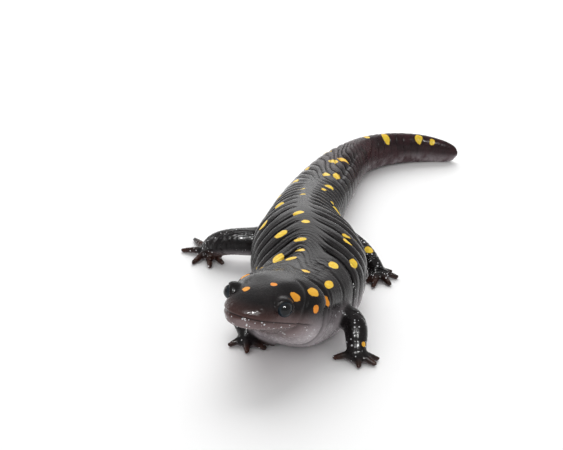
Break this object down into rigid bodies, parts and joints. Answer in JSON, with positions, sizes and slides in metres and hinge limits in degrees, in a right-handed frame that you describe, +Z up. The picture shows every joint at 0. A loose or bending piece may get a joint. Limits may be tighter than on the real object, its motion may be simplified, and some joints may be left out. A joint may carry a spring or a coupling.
{
  "type": "spotted salamander",
  "caption": "Life-size stout salamander at rest on the floor, head raised and turned, legs spread, tail curved to one side; a still display animal.",
  "frame": {"origin": "middle of the footprint of the whole animal, on the floor under its feet and belly", "axes": "+Z up, -Y towards the head, +Y towards the tail, +X towards the animal's left side"},
  "size_m": [0.069, 0.1208, 0.0167],
  "materials": {
    "skin": "wet, glossy black skin with yellow and orange spots",
    "eye": "wet, glossy black"
  },
  "bodies": {
    "root": {"head": "skin", "lower_jaw": "skin", "neck": "skin", "trunk_front": "skin", "trunk_rear": "skin", "tail_base": "skin", "tail_middle": "skin", "tail_tip": "skin", "upper_arm_left": "skin", "forearm_left": "skin", "fore_foot_left": "skin", "upper_arm_right": "skin", "forearm_right": "skin", "fore_foot_right": "skin", "thigh_left": "skin", "shin_left": "skin", "hind_foot_left": "skin", "thigh_right": "skin", "shin_right": "skin", "hind_foot_right": "skin", "eye_left": "eye", "eye_right": "eye"}
  },
  "joints": []
}
